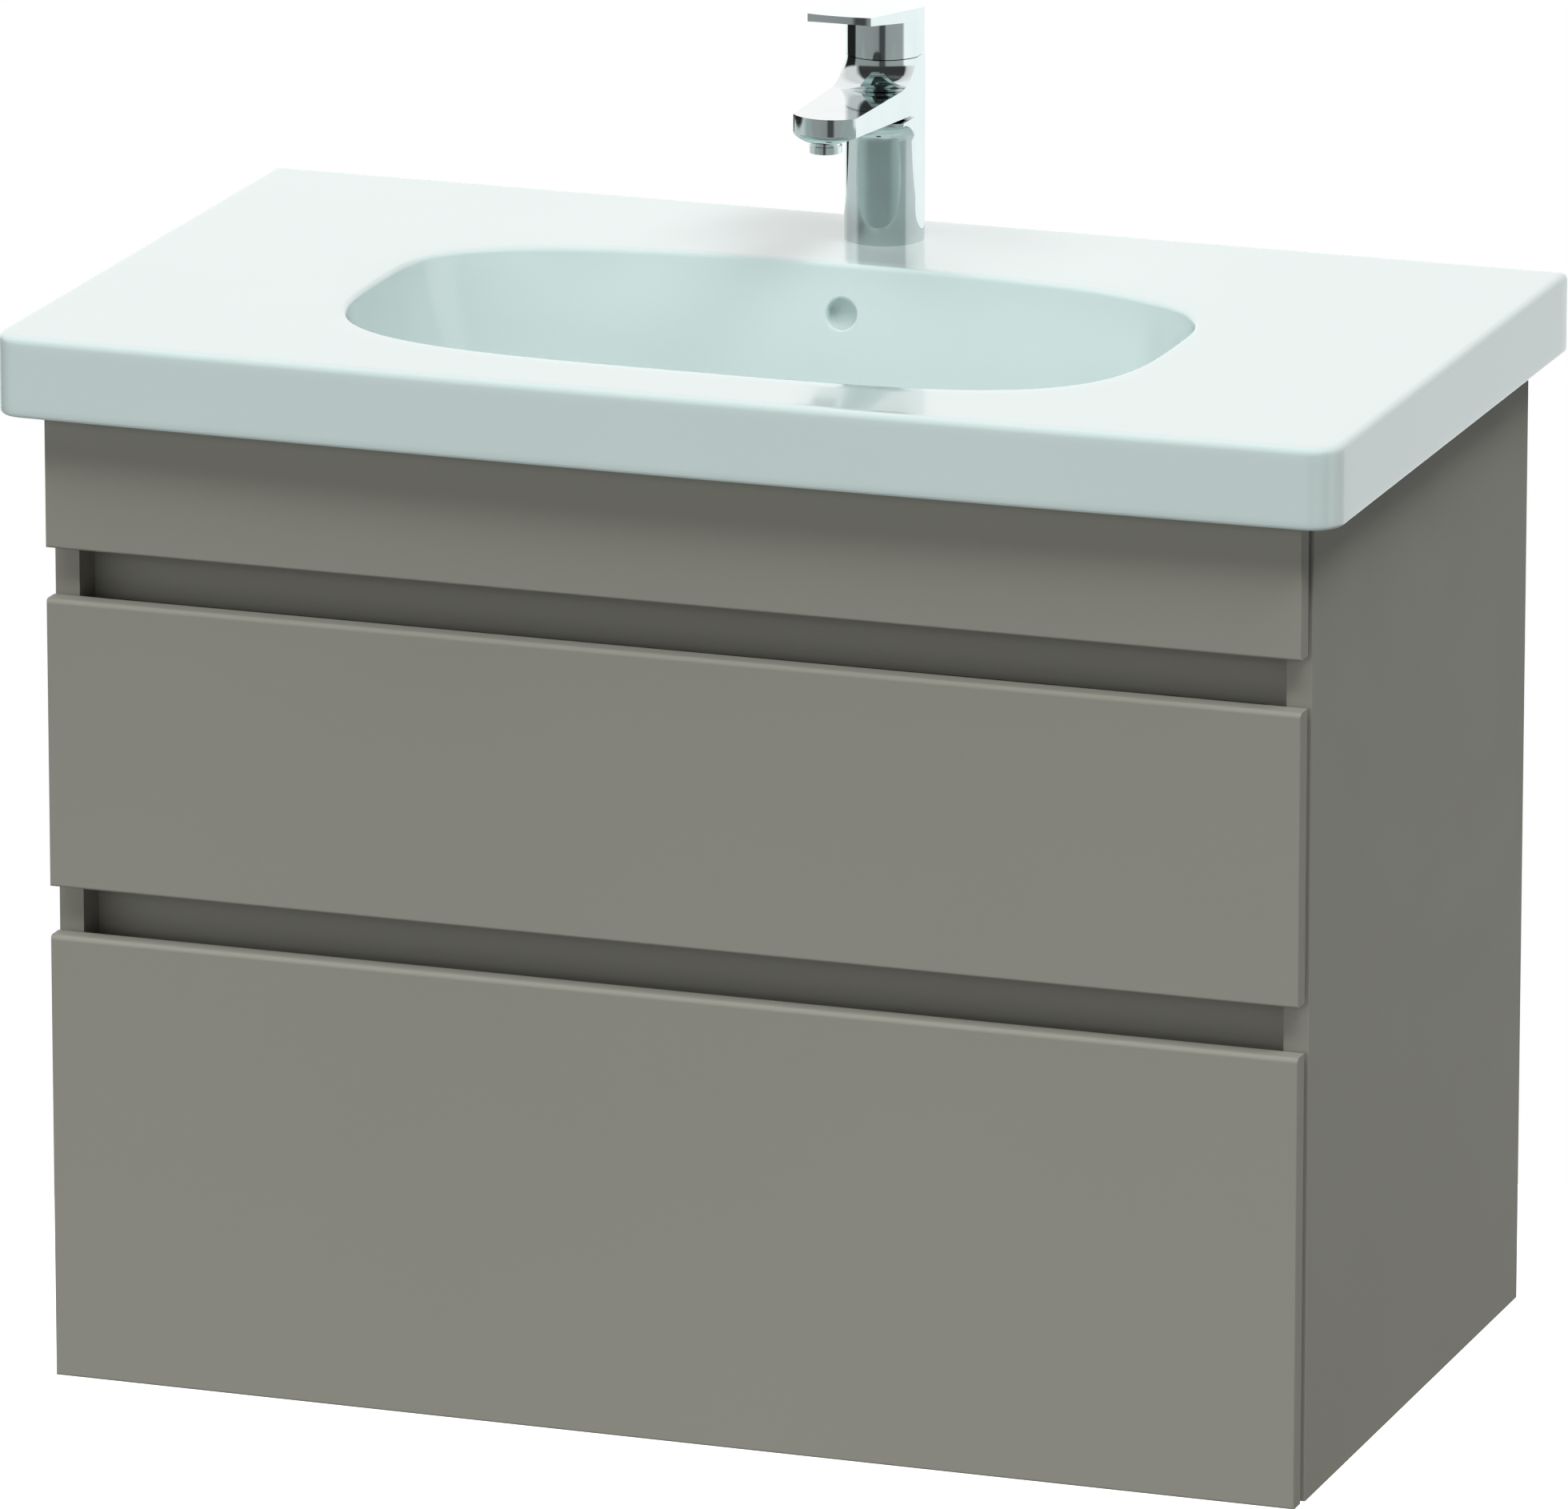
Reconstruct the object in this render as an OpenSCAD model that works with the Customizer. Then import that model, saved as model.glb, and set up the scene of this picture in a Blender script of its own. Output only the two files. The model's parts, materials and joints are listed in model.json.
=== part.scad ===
// Wall-hung bathroom vanity: lacquered carcass with two drawers, ceramic washbasin,
// single-lever basin tap, push-open waste and bottle trap.
// Millimetres. Origin on the wall plane, on the centre line, level with the carcass underside.
// +X to the user's right, +Y into the wall, +Z up. The drawer fronts face -Y.

/* [Carcass] */
// Width over the side panels
body_w = 800; // [780:1:820]
// Depth from the wall to the front edge of the side panels
body_d = 435; // [430:1:440]
// Height of the side panels
body_h = 610; // [605:1:615]
// Board thickness of the carcass
board_t = 16; // [15:0.5:17]
// Set-back of the grip recess rails behind the side panel edges
recess_d = 24.5; // [22:0.5:28]

/* [Fronts] */
// Thickness of the fronts
front_t = 16; // [14:0.5:18]
// Gap between the fronts and the side panel edges
front_gap = 2; // [1.5:0.1:3]
// Width of the bevel around the rear edge of each front
front_bevel = 3; // [2:0.5:4]
// Set-back of the front ends from the carcass sides
front_inset = 1.4; // [1:0.1:2]
// Top of the lower drawer front
lower_top = 281; // [279:1:283]
// Bottom of the upper drawer front
upper_bottom = 312; // [310:1:314]
// Top of the upper drawer front
upper_top = 493; // [491:1:495]
// Bottom of the fixed apron
apron_bottom = 525; // [523:1:527]

/* [Drawers] */
// Length of the drawer boxes
box_d = 390; // [380:1:392]
// Thickness of the drawer sides
box_t = 12; // [10:0.5:13]
// Thickness of the drawer bottoms
base_t = 8; // [6:0.5:10]
// Half width of the trap cut-out in the upper drawer
cut_half = 95; // [80:1:110]
// Distance from the wall to the front of the trap cut-out
cut_front = 318; // [310:1:325]

/* [Washbasin] */
// Width of the washbasin
basin_w = 850; // [845:1:860]
// Depth of the washbasin at its ends
basin_d = 475; // [472:1:478]
// Extra depth at the middle of the bowed front edge
basin_bow = 5; // [3:0.5:6]
// Height of the rim
rim_h = 50; // [48:1:52]
// Plan radius of the front corners
corner_r = 20; // [15:1:25]
// Thickness of the ceramic deck
deck_t = 14; // [12:1:16]
// Half width of the bowl at the rim
bowl_a = 256; // [250:1:260]
// Reach of the bowl from its widest line to the front
bowl_f = 172; // [168:1:174]
// Reach of the bowl from its widest line towards the wall
bowl_b = 115; // [113:1:117]
// Distance of the bowl's widest line from the wall
bowl_y = 244; // [242:1:246]
// Depth of the bowl under the rim
bowl_deep = 133; // [130:1:136]
// Distance of the waste centre from the wall
waste_y = 262; // [258:1:266]

/* [Tap] */
// Distance of the tap axis from the wall
tap_y = 54; // [52:1:56]
// Radius of the tap body
tap_r = 25; // [24.6:0.1:25.4]
// Height of the shoulder under the lever
tap_h = 117; // [116:0.5:119]
// Reach of the outlet from the tap axis
reach = 110; // [108:1:112]

/* [Nodes] */
// Sub-part to draw

/* [Hidden] */
half_w = body_w / 2;
// half distance between the flats of the tap, radius of its neck, fall of the spout's underside
flat_x = 23.3;
neck_r = tap_r - 0.7;
spout_drop = 4.67;
in_w = half_w - board_t;
face_y = -body_d - front_gap;
front_y = face_y - front_t;
front_half = half_w - front_inset;
rail_y = -body_d + recess_d;
box_half = in_w - 16;
box_y1 = face_y + box_d;
deck_z = body_h + rim_h;
mid_rail_z = lower_top - 10;
mid_rail_h = upper_bottom - lower_top + 20;
top_rail_z = upper_top - 8;
top_rail_h = 56;
lower_run_z = 20;
upper_run_z = mid_rail_z + mid_rail_h + 8;
run_top = 21.4;
lower_box_h = 218;
upper_box_h = 126;
run_l = 400;
run_y = -430;
grey = [0.235, 0.23, 0.205];
steel = [0.62, 0.63, 0.65];
chrome_c = [0.78, 0.81, 0.83];
white_c = [0.92, 0.94, 0.93];
dark = [0.10, 0.10, 0.11];

// ---------- shared shapes ----------

// box from its low corner to its high corner
module box(a, b) {
  translate(a) cube([b[0] - a[0], b[1] - a[1], b[2] - a[2]]);
}

// upright cylinder from z0 to z1
module rod(x, y, z0, z1, r) {
  translate([x, y, z0]) cylinder(h = z1 - z0, r = r, $fn = 64);
}

// cylinder along X from x0 to x1
module rod_x(x0, x1, y, z, r) {
  translate([x0, y, z]) rotate([0, 90, 0]) cylinder(h = x1 - x0, r = r, $fn = 64);
}

// cylinder along Y from y0 to y1
module rod_y(x, y0, y1, z, r) {
  translate([x, y0, z]) rotate([-90, 0, 0]) cylinder(h = y1 - y0, r = r, $fn = 64);
}

// mirror image in the centre plane
module flip() {
  mirror([1, 0, 0]) children();
}

// ---------- carcass ----------

// dowel positions at the ends of the boards: [y, z]
dowel_at = [
  [-400, 8], [-220, 8], [-40, 8],
  [-16, 36], [-16, 86],
  [-16, 486], [-16, 536],
  [rail_y + 8, mid_rail_z + 12], [rail_y + 8, mid_rail_z + mid_rail_h - 12],
  [rail_y + 8, top_rail_z + 12], [rail_y + 8, top_rail_z + top_rail_h - 12]];

// bores for the dowels at one end, on the right-hand side
module dowel_bores() {
  for (p = dowel_at) rod_x(in_w - 20.5, in_w + 10.5, p[0], p[1], 4.05);
}

// side panel with softened outer front edge
module side_panel() {
  difference() {
    linear_extrude(body_h) union() {
      translate([in_w, -body_d]) square([board_t - 1, body_d]);
      translate([in_w, -body_d + 1]) square([board_t, body_d - 1]);
      translate([half_w - 1, -body_d + 1]) circle(r = 1, $fn = 48);
    }
    dowel_bores();
  }
}

module side_panel_left() {
  color(grey) flip() side_panel();
}

module side_panel_right() {
  color(grey) side_panel();
}

// rail between the side panels with dowel bores in its ends
module cross_rail(y0, y1, z0, z1) {
  difference() {
    box([-in_w, y0, z0], [in_w, y1, z1]);
    dowel_bores();
    flip() dowel_bores();
  }
}

module bottom_panel() {
  color(grey) difference() {
    cross_rail(-body_d, 0, 0, board_t);
    for (s = [-1, 1]) for (y = [-380, -60]) rod(s * (in_w - 34), y, 3.5, 17, 7.55);
  }
}

module back_rail_upper() {
  color(grey) difference() {
    cross_rail(-24, -8, 466, 556);
    for (s = [-1, 1]) rod_y(s * (in_w - 34), -25, -11.5, 511, 7.55);
  }
}

module back_rail_lower() {
  color(grey) difference() {
    cross_rail(-24, -8, board_t, 106);
    for (s = [-1, 1]) rod_y(s * (in_w - 34), -25, -11.5, 61, 7.55);
  }
}

module grip_rail_upper() {
  color(grey) cross_rail(rail_y, rail_y + 16, top_rail_z, top_rail_z + top_rail_h);
}

module grip_rail_middle() {
  color(grey) cross_rail(rail_y, rail_y + 16, mid_rail_z, mid_rail_z + mid_rail_h);
}

module carcass_dowels() {
  color([0.55, 0.40, 0.22])
  for (s = [-1, 1]) for (p = dowel_at)
    rod_x(s * (in_w - 5) - 15, s * (in_w - 5) + 15, p[0], p[1], 4);
}

module cam_locks() {
  color(steel) {
    for (s = [-1, 1]) for (y = [-380, -60]) cam_lock(s * (in_w - 34), y, 3.6);
    for (s = [-1, 1]) for (z = [61, 511])
      translate([s * (in_w - 34), -11.6, z]) rotate([90, 0, 0]) cam_lock(0, 0, 0);
  }
}

// one eccentric housing with a cross slot in its face
module cam_lock(x, y, z) {
  translate([x, y, z]) difference() {
    cylinder(h = 12.3, r = 7.5, $fn = 48);
    translate([-5, -0.8, 10.3]) cube([10, 1.6, 3]);
    translate([-0.8, -5, 10.3]) cube([1.6, 10, 3]);
  }
}

// front board: rounded visible edges, bevelled rear edge
module front_board(z0, z1) {
  h = z1 - z0;
  b = front_bevel;
  w = front_half;
  difference() {
    translate([-w, 0, z0]) rotate([90, 0, 90]) linear_extrude(2 * w) union() {
      translate([front_y, 1.5]) square([front_t - b, h - 4.5]);
      translate([front_y + 3, 0]) square([front_t - b - 3, h]);
      translate([front_y + 1.5, 0]) square([2, h - 4]);
      translate([front_y + 1.5, 1.5]) circle(r = 1.5, $fn = 48);
      translate([front_y + 3, h - 3]) circle(r = 3, $fn = 48);
      polygon([[face_y - b - 0.01, 0], [face_y - b, 0], [face_y, b], [face_y, h - b],
        [face_y - b, h], [face_y - b - 0.01, h]]);
    }
    for (s = [-1, 1]) {
      translate([s * w, face_y - b, z0 - 1]) bevel_cutter(s, h + 2);
      translate([s * (w - 0.75), front_y + 0.75, z0 - 1]) edge_cutter(s, h + 2);
    }
  }
}

// cutter for the rear bevel at one end of a front
module bevel_cutter(s, h) {
  linear_extrude(h)
    polygon(s > 0
      ? [[0, 0], [-front_bevel, front_bevel], [-front_bevel, front_bevel + 1],
         [1, front_bevel + 1], [1, 0]]
      : [[0, 0], [front_bevel, front_bevel], [front_bevel, front_bevel + 1],
         [-1, front_bevel + 1], [-1, 0]]);
}

// cutter leaving a 0.75 radius on the visible vertical edge at one end of a front
module edge_cutter(s, h) {
  linear_extrude(h) difference() {
    translate([s > 0 ? 0 : -1.5, -1.5]) square([1.5, 1.5]);
    circle(r = 0.75, $fn = 48);
  }
}

module apron_panel() {
  color(grey) difference() {
    front_board(apron_bottom, body_h - 1);
    for (s = [-1, 1]) rod_y(s * 360, face_y - 9, face_y + 1, 580, 2.5);
  }
}

// steel angles that carry the apron
module apron_brackets() {
  color(steel) for (s = [-1, 1]) difference() {
    union() {
      box([s > 0 ? 345 : -384, face_y, 562], [s > 0 ? 384 : -345, face_y + 2, 598]);
      box([s > 0 ? 382 : -384, face_y + 2, 562], [s > 0 ? 384 : -382, -395, 598]);
    }
    rod_y(s * 360, face_y - 1, face_y + 3, 580, 2.5);
  }
}

// ---------- wall fixing ----------

// adjustable hanger on the inner face of the right-hand side panel
module hanger() {
  difference() {
    union() {
      box([366, -86, 552], [384, -26, 602]);
      box([369, -26, 580.5], [381, -4, 583.5]);
      box([369, -6, 573], [381, -4, 580.5]);
    }
    for (z = [562, 592]) rod_y(375, -87, -70, z, 3.5);
  }
}

module hanger_left() {
  color(steel) flip() hanger();
}

module hanger_right() {
  color(steel) hanger();
}

// steel plates screwed to the wall, with the upstand that the hangers hook over
module wall_plates() {
  color(steel) for (s = [-1, 1]) difference() {
    union() {
      box([s * 350 - 32, -3, 540], [s * 350 + 32, 0, 605]);
      box([s * 350 - 32, -9, 566], [s * 350 + 32, -3, 569]);
      box([s * 350 - 32, -9, 569], [s * 350 + 32, -6.5, 579.5]);
    }
    rod_y(s * 336, -5, 1, 553, 4);
    rod_y(s * 336, -5, 1, 592, 4);
  }
}

// ---------- runners ----------

// fixed member screwed to the right-hand side panel
module runner_fixed(z) {
  difference() {
    union() {
      box([in_w - 1.5, run_y, z], [in_w, run_y + run_l, z + 36]);
      box([346, run_y, z], [in_w - 1.5, run_y + run_l, z + 1.5]);
      box([348, run_y, z + 1.5], [349.5, run_y + run_l, z + 12]);
      box([366.5, run_y, z + 1.5], [368, run_y + run_l, z + 12]);
    }
    for (y = [-400, -240, -60]) rod_x(in_w - 3, in_w + 1, y, z + 28, 2.5);
  }
}

// middle member: a box section between the two channels
module runner_middle(z) {
  difference() {
    box([351, run_y, z + 2.4], [365, run_y + run_l, z + 19]);
    box([352.6, run_y - 1, z + 4], [363.4, run_y + run_l + 1, z + 17.4]);
  }
}

// member under the drawer side
module runner_drawer(z) {
  difference() {
    box([348, run_y, z + 12.6], [368, run_y + run_l, z + run_top]);
    box([349.5, run_y - 1, z + 12], [366.5, run_y + run_l + 1, z + 19.6]);
  }
}

module upper_runner_fixed_left() {
  color(steel) flip() runner_fixed(upper_run_z);
}

module upper_runner_fixed_right() {
  color(steel) runner_fixed(upper_run_z);
}

module lower_runner_fixed_left() {
  color(steel) flip() runner_fixed(lower_run_z);
}

module lower_runner_fixed_right() {
  color(steel) runner_fixed(lower_run_z);
}

module upper_runner_middle_left() {
  color(steel) flip() runner_middle(upper_run_z);
}

module upper_runner_middle_right() {
  color(steel) runner_middle(upper_run_z);
}

module lower_runner_middle_left() {
  color(steel) flip() runner_middle(lower_run_z);
}

module lower_runner_middle_right() {
  color(steel) runner_middle(lower_run_z);
}

module upper_runner_drawer_left() {
  color(steel) flip() runner_drawer(upper_run_z);
}

module upper_runner_drawer_right() {
  color(steel) runner_drawer(upper_run_z);
}

module lower_runner_drawer_left() {
  color(steel) flip() runner_drawer(lower_run_z);
}

module lower_runner_drawer_right() {
  color(steel) runner_drawer(lower_run_z);
}

// closing dampers lying on the foot of each fixed member
module runner_dampers() {
  color(dark) for (s = [-1, 1]) for (z = [lower_run_z, upper_run_z]) {
    rod_y(s * 375.2, -150, -60, z + 7, 5.4);
    rod_y(s * 375.2, -190, -150, z + 7, 2);
  }
}

// ---------- drawers ----------

// side board standing on the runner, grooved for the base
module drawer_side(z, h) {
  difference() {
    box([box_half - box_t, face_y, z], [box_half, box_y1, z + h]);
    box([box_half - box_t - 1, face_y - 1, z + 10], [box_half - box_t + 5, box_y1 + 1, z + 10 + base_t]);
  }
}

module upper_side_left() {
  color(grey) flip() drawer_side(upper_run_z + run_top, upper_box_h);
}

module upper_side_right() {
  color(grey) drawer_side(upper_run_z + run_top, upper_box_h);
}

module lower_side_left() {
  color(grey) flip() drawer_side(lower_run_z + run_top, lower_box_h);
}

module lower_side_right() {
  color(grey) drawer_side(lower_run_z + run_top, lower_box_h);
}

// base board held in the side grooves
module drawer_base(z) {
  w = box_half - box_t + 5;
  box([-w, face_y, z + 10], [w, box_y1, z + 10 + base_t]);
}

module upper_base() {
  z = upper_run_z + run_top;
  color(grey) difference() {
    drawer_base(z);
    box([-cut_half, -cut_front, z], [cut_half, box_y1 + 1, z + 30]);
  }
}

module lower_base() {
  color(grey) drawer_base(lower_run_z + run_top);
}

module upper_back_boards() {
  z = upper_run_z + run_top + 10 + base_t;
  w = box_half - box_t;
  color(grey) for (s = [-1, 1])
    box([s > 0 ? cut_half + box_t : -w, box_y1 - box_t, z],
      [s > 0 ? w : -cut_half - box_t, box_y1, z + upper_box_h - 18]);
}

// three boards around the trap cut-out
module upper_trap_walls() {
  z = upper_run_z + run_top + 10 + base_t;
  color(grey) {
    for (s = [-1, 1])
      box([s > 0 ? cut_half : -cut_half - box_t, -cut_front, z],
        [s > 0 ? cut_half + box_t : -cut_half, box_y1, z + upper_box_h - 18]);
    box([-cut_half - box_t, -cut_front - box_t, z],
      [cut_half + box_t, -cut_front, z + upper_box_h - 18]);
  }
}

module lower_back() {
  z = lower_run_z + run_top + 10 + base_t;
  w = box_half - box_t;
  color(grey) box([-w, box_y1 - box_t, z], [w, box_y1, z + lower_box_h - 18]);
}

module upper_front() {
  color(grey) front_board(upper_bottom, upper_top);
}

module lower_front() {
  color(grey) front_board(0, lower_top);
}

// soft discs on the back of a front that meet the side panel edges
module bumpers(z0, z1) {
  for (s = [-1, 1]) for (z = [z0 + 20, z1 - 20])
    rod_y(s * 390, face_y, face_y + front_gap - 0.1, z, 4);
}

module upper_bumpers() {
  color([0.8, 0.8, 0.8]) bumpers(upper_bottom, upper_top);
}

module lower_bumpers() {
  color([0.8, 0.8, 0.8]) bumpers(0, lower_top);
}

// ---------- washbasin ----------

// bowl outline: fuller towards the front (f) than towards the wall (b)
function bowl_plan(a, f, b) = [for (i = [0 : 71]) let (t = i * 5, c = cos(t), s = sin(t),
  n = s > 0 ? 2.87 : 3.65, d = s > 0 ? b : f,
  r = pow(pow(abs(c) / a, n) + pow(abs(s) / d, n), -1 / n)) [r * c, r * s]];

// thin slice of the bowl at a depth under the rim, grown by g
module bowl_slice(depth, a, f, b, g) {
  translate([0, -bowl_y, deck_z - depth]) linear_extrude(0.2)
    polygon(bowl_plan(bowl_a - a + g, bowl_f - f + g, bowl_b - b + g));
}

// bowl space from the rim to the bottom
module bowl_space() {
  hull() {
    bowl_slice(5.2, 0, 0, 0, 0);
    bowl_slice(30, 9, 12, 9.5, 0);
    bowl_slice(75, 26, 30, 25, 0);
    bowl_slice(105, 44, 46, 37, 0);
    bowl_slice(122, 66, 66, 51, 0);
    bowl_slice(130, 96, 92, 69, 0);
    bowl_slice(bowl_deep, 170, 125, 88, 0);
  }
  hull() {
    bowl_slice(5.2, 0, 0, 0, 0);
    bowl_slice(-0.1, 0, 0, 0, 4);
  }
}

// outside of the bowl, one wall thickness larger
module bowl_shell() {
  hull() {
    bowl_slice(deck_t, 2, 2, 2, 11);
    bowl_slice(40, 9, 12, 9.5, 10);
    bowl_slice(85, 26, 30, 25, 10);
    bowl_slice(115, 44, 46, 37, 10);
    bowl_slice(132, 66, 66, 51, 10);
    bowl_slice(bowl_deep + 11, 120, 105, 75, 10);
  }
}

// plan of the rim: square rear corners, rounded front corners, bowed front
module rim_plan() {
  w = basin_w / 2;
  big = (w * w + basin_bow * basin_bow) / (2 * basin_bow);
  union() {
    translate([-w, -basin_d + corner_r]) square([basin_w, basin_d - corner_r]);
    translate([-w + corner_r, -basin_d]) square([basin_w - 2 * corner_r, corner_r + 1]);
    for (s = [-1, 1]) translate([s * (w - corner_r), -basin_d + corner_r])
      circle(r = corner_r, $fn = 96);
    intersection() {
      translate([-w + corner_r, -basin_d - basin_bow]) square([basin_w - 2 * corner_r, 20]);
      translate([0, -basin_d - basin_bow + big]) circle(r = big, $fn = 360);
    }
  }
}

// overflow passage behind the bowl down to the waste
module overflow_duct(w) {
  translate([-w, 0, deck_z]) rotate([90, 0, 90]) linear_extrude(2 * w)
    polygon([[-130, -22], [-118, -22], [-118, -48], [-146, -130], [-165, -160],
      [-waste_y, -160], [-waste_y, -150], [-180, -150], [-160, -115], [-146, -75], [-131, -48]]);
}

// ceramic around the overflow passage
module overflow_wall(w) {
  translate([-w, 0, deck_z]) rotate([90, 0, 90]) linear_extrude(2 * w)
    polygon([[-136, -13], [-112, -13], [-112, -50], [-140, -134], [-160, -166],
      [-waste_y, -166], [-waste_y, -144], [-184, -144], [-166, -113], [-152, -74], [-137, -47]]);
}

module washbasin() {
  color(white_c) difference() {
    union() {
      difference() {
        translate([0, 0, body_h]) linear_extrude(rim_h) rim_plan();
        box([-368, -418, body_h - 1], [368, -22, deck_z - deck_t]);
      }
      bowl_shell();
      overflow_wall(17);
      rod(0, -waste_y, deck_z - bowl_deep - 34, deck_z - bowl_deep, 36);
    }
    bowl_space();
    rod(0, -tap_y, deck_z - deck_t - 1, deck_z + 1, 17.5);
    rod(0, -waste_y, deck_z - bowl_deep - 35, deck_z - bowl_deep + 1, 23);
    rod(0, -waste_y, deck_z - bowl_deep - 5, deck_z - bowl_deep + 2, 33);
    rod_y(0, -180, -126, deck_z - 30.5, 9.8);
    overflow_duct(11);
  }
}

// ---------- tap ----------

// height above the deck
function tz(h) = deck_z + h;

// plan of the spout: straight tapering sides, arched nose
module spout_plan() {
  union() {
    polygon([[-flat_x, 0], [-20.3, -111], [20.3, -111], [flat_x, 0]]);
    intersection() {
      translate([0, -95.4]) circle(r = 26, $fn = 96);
      translate([-20.3, -130]) square([40.6, 40]);
    }
  }
}

// round body with a flat on each side that runs out above the base
module tap_column(h0, h1, r, run_out) {
  difference() {
    translate([0, 0, h0]) cylinder(h = h1 - h0, r = r, $fn = 96);
    for (s = [-1, 1]) {
      box([s > 0 ? flat_x : -flat_x - 5, -30, run_out ? 22 : h0 - 1],
        [s > 0 ? flat_x + 5 : -flat_x, 30, h1 + 1]);
      if (run_out) translate([s * (flat_x + 60), 30, 22]) rotate([90, 0, 0])
        cylinder(h = 60, r = 60, $fn = 96);
    }
  }
}

// spout: flat top, rounded underside that drops slightly towards the body
module spout_bar() {
  intersection() {
    translate([0, 0, 60]) linear_extrude(57) spout_plan();
    translate([0, 10, 121]) rotate([90 - spout_drop, 0, 0]) cylinder(h = 140, r = 46.75, $fn = 96);
    union() {
      translate([-30, -95.4, 60]) cube([60, 95.4, tap_h - 60]);
      translate([0, -95.4, 0]) nose_round();
    }
  }
}

// nose with a rounded lower edge
module nose_round() {
  rotate_extrude($fn = 96) union() {
    translate([0, 90]) square([27, 20]);
    translate([0, 83]) square([20, 8]);
    intersection() {
      translate([19, 90]) circle(r = 7, $fn = 96);
      translate([19, 80]) square([10, 12]);
    }
  }
}

// hollow sweep above the spout, round the neck
module neck_scoop() {
  intersection() {
    rotate_extrude($fn = 96) union() {
      translate([neck_r + 16, 116.8]) circle(r = 16, $fn = 96);
      translate([neck_r + 16, 100.8]) square([100, 40]);
      translate([neck_r, 116.8]) square([60, 20]);
    }
    translate([-60, -140, 90]) cube([120, 140, 60]);
  }
}

// fillet between the underside of the spout and the body
module spout_root() {
  intersection() {
    translate([0, 0, 60]) linear_extrude(30) spout_plan();
    rotate_extrude($fn = 96) difference() {
      translate([20, 62]) square([17, 18]);
      translate([37, 66]) circle(r = 12, $fn = 96);
      translate([25, 60]) square([20, 6]);
    }
  }
}

module tap_body() {
  y = -tap_y;
  color(chrome_c) translate([0, y, deck_z]) difference() {
    union() {
      difference() {
        union() {
          spout_bar();
          tap_column(0, tap_h, tap_r, true);
        }
        neck_scoop();
      }
      spout_root();
    }
    translate([0, 0, 80]) cylinder(h = 40, r = 17.5, $fn = 96);
    translate([0, -reach, 70]) cylinder(h = 22, r = 9.4, $fn = 64);
    translate([0, -reach, 91]) rotate([-90, 0, 0]) cylinder(h = reach - 10, r = 4.5, $fn = 48);
    translate([0, 10, -1]) cylinder(h = 16, r = 3.03, $fn = 48);
    for (s = [-1, 1]) translate([s * 7.5, -6, -1]) cylinder(h = 90, r = 4.5, $fn = 48);
  }
}

module tap_aerator() {
  color(chrome_c) translate([0, -tap_y - reach, deck_z]) difference() {
    union() {
      translate([0, 0, 78.4]) cylinder(h = 4.4, r = 10.1, $fn = 64);
      translate([0, 0, 82]) cylinder(h = 9, r = 9.3, $fn = 64);
    }
    translate([0, 0, 78]) cylinder(h = 4, r = 8.3, $fn = 64);
    for (a = [0 : 60 : 300]) rotate([0, 0, a]) translate([4.5, 0, 80])
      cylinder(h = 12, r = 1.4, $fn = 24);
  }
}

module tap_cartridge() {
  color(dark) translate([0, -tap_y, deck_z + 80]) difference() {
    cylinder(h = 31, r = 17.4, $fn = 96);
    for (s = [-1, 1]) translate([s * 7.5, -6, -1]) cylinder(h = 8, r = 3.6, $fn = 48);
    translate([0, 0, 25]) cylinder(h = 7, r = 8, $fn = 48);
  }
}

module tap_cartridge_nut() {
  color([0.72, 0.62, 0.35]) translate([0, -tap_y, deck_z + 111]) difference() {
    union() {
      cylinder(h = 6, r = 17.3, $fn = 96);
      cylinder(h = 10, r = 15.8, $fn = 96);
    }
    translate([0, 0, -1]) cylinder(h = 12, r = 13.1, $fn = 96);
  }
}

// rotating stem with two ears for the lever pin
module tap_rotor() {
  color(dark) translate([0, -tap_y, deck_z]) difference() {
    union() {
      translate([0, 0, 107]) cylinder(h = 5, r = 7.6, $fn = 64);
      translate([0, 0, 111.4]) cylinder(h = 12.2, r = 13, $fn = 96);
      for (s = [-1, 1]) translate([s > 0 ? 8 : -11, 1.5, 123]) cube([3, 9, 9.5]);
    }
    translate([-12, 6, 128]) rotate([0, 90, 0]) cylinder(h = 24, r = 2.05, $fn = 48);
  }
}

module tap_lever_pin() {
  color(steel) rod_x(-11.5, 11.5, -tap_y + 6, tz(128), 2);
}

// plan of the lever: round cap with flat sides, blade with an arched front
module lever_plan() {
  union() {
    intersection() {
      circle(r = tap_r - 0.5, $fn = 96);
      square([2 * flat_x, 60], center = true);
    }
    polygon([[-flat_x, 0], [-20.5, -85], [20.5, -85], [flat_x, 0]]);
    intersection() {
      translate([0, -35]) circle(r = 54, $fn = 96);
      translate([-20.5, -92]) square([41, 40]);
    }
  }
}

// inclined blade, thin at its tip
module lever_blade() {
  intersection() {
    translate([0, 0, 130]) linear_extrude(40) lever_plan();
    translate([-30, 0, 0]) rotate([90, 0, 90]) linear_extrude(60)
      polygon([[24.6, 136], [24.6, 143.8], [-90, 158.6], [-90, 154.2], [-84, 152.6], [-22, 142]]);
  }
}

// skirt over the body, relieved at the rear for the tilt
module lever_skirt() {
  intersection() {
    tap_column(tap_h + 0.6, 148, tap_r - 0.5, false);
    translate([-30, 0, 0]) rotate([90, 0, 90]) linear_extrude(60)
      polygon([[-26, tap_h + 0.6], [6, tap_h + 0.6], [24.6, tap_h + 7.2], [24.6, 143.8],
        [-26, 146.6]]);
  }
}

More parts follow.
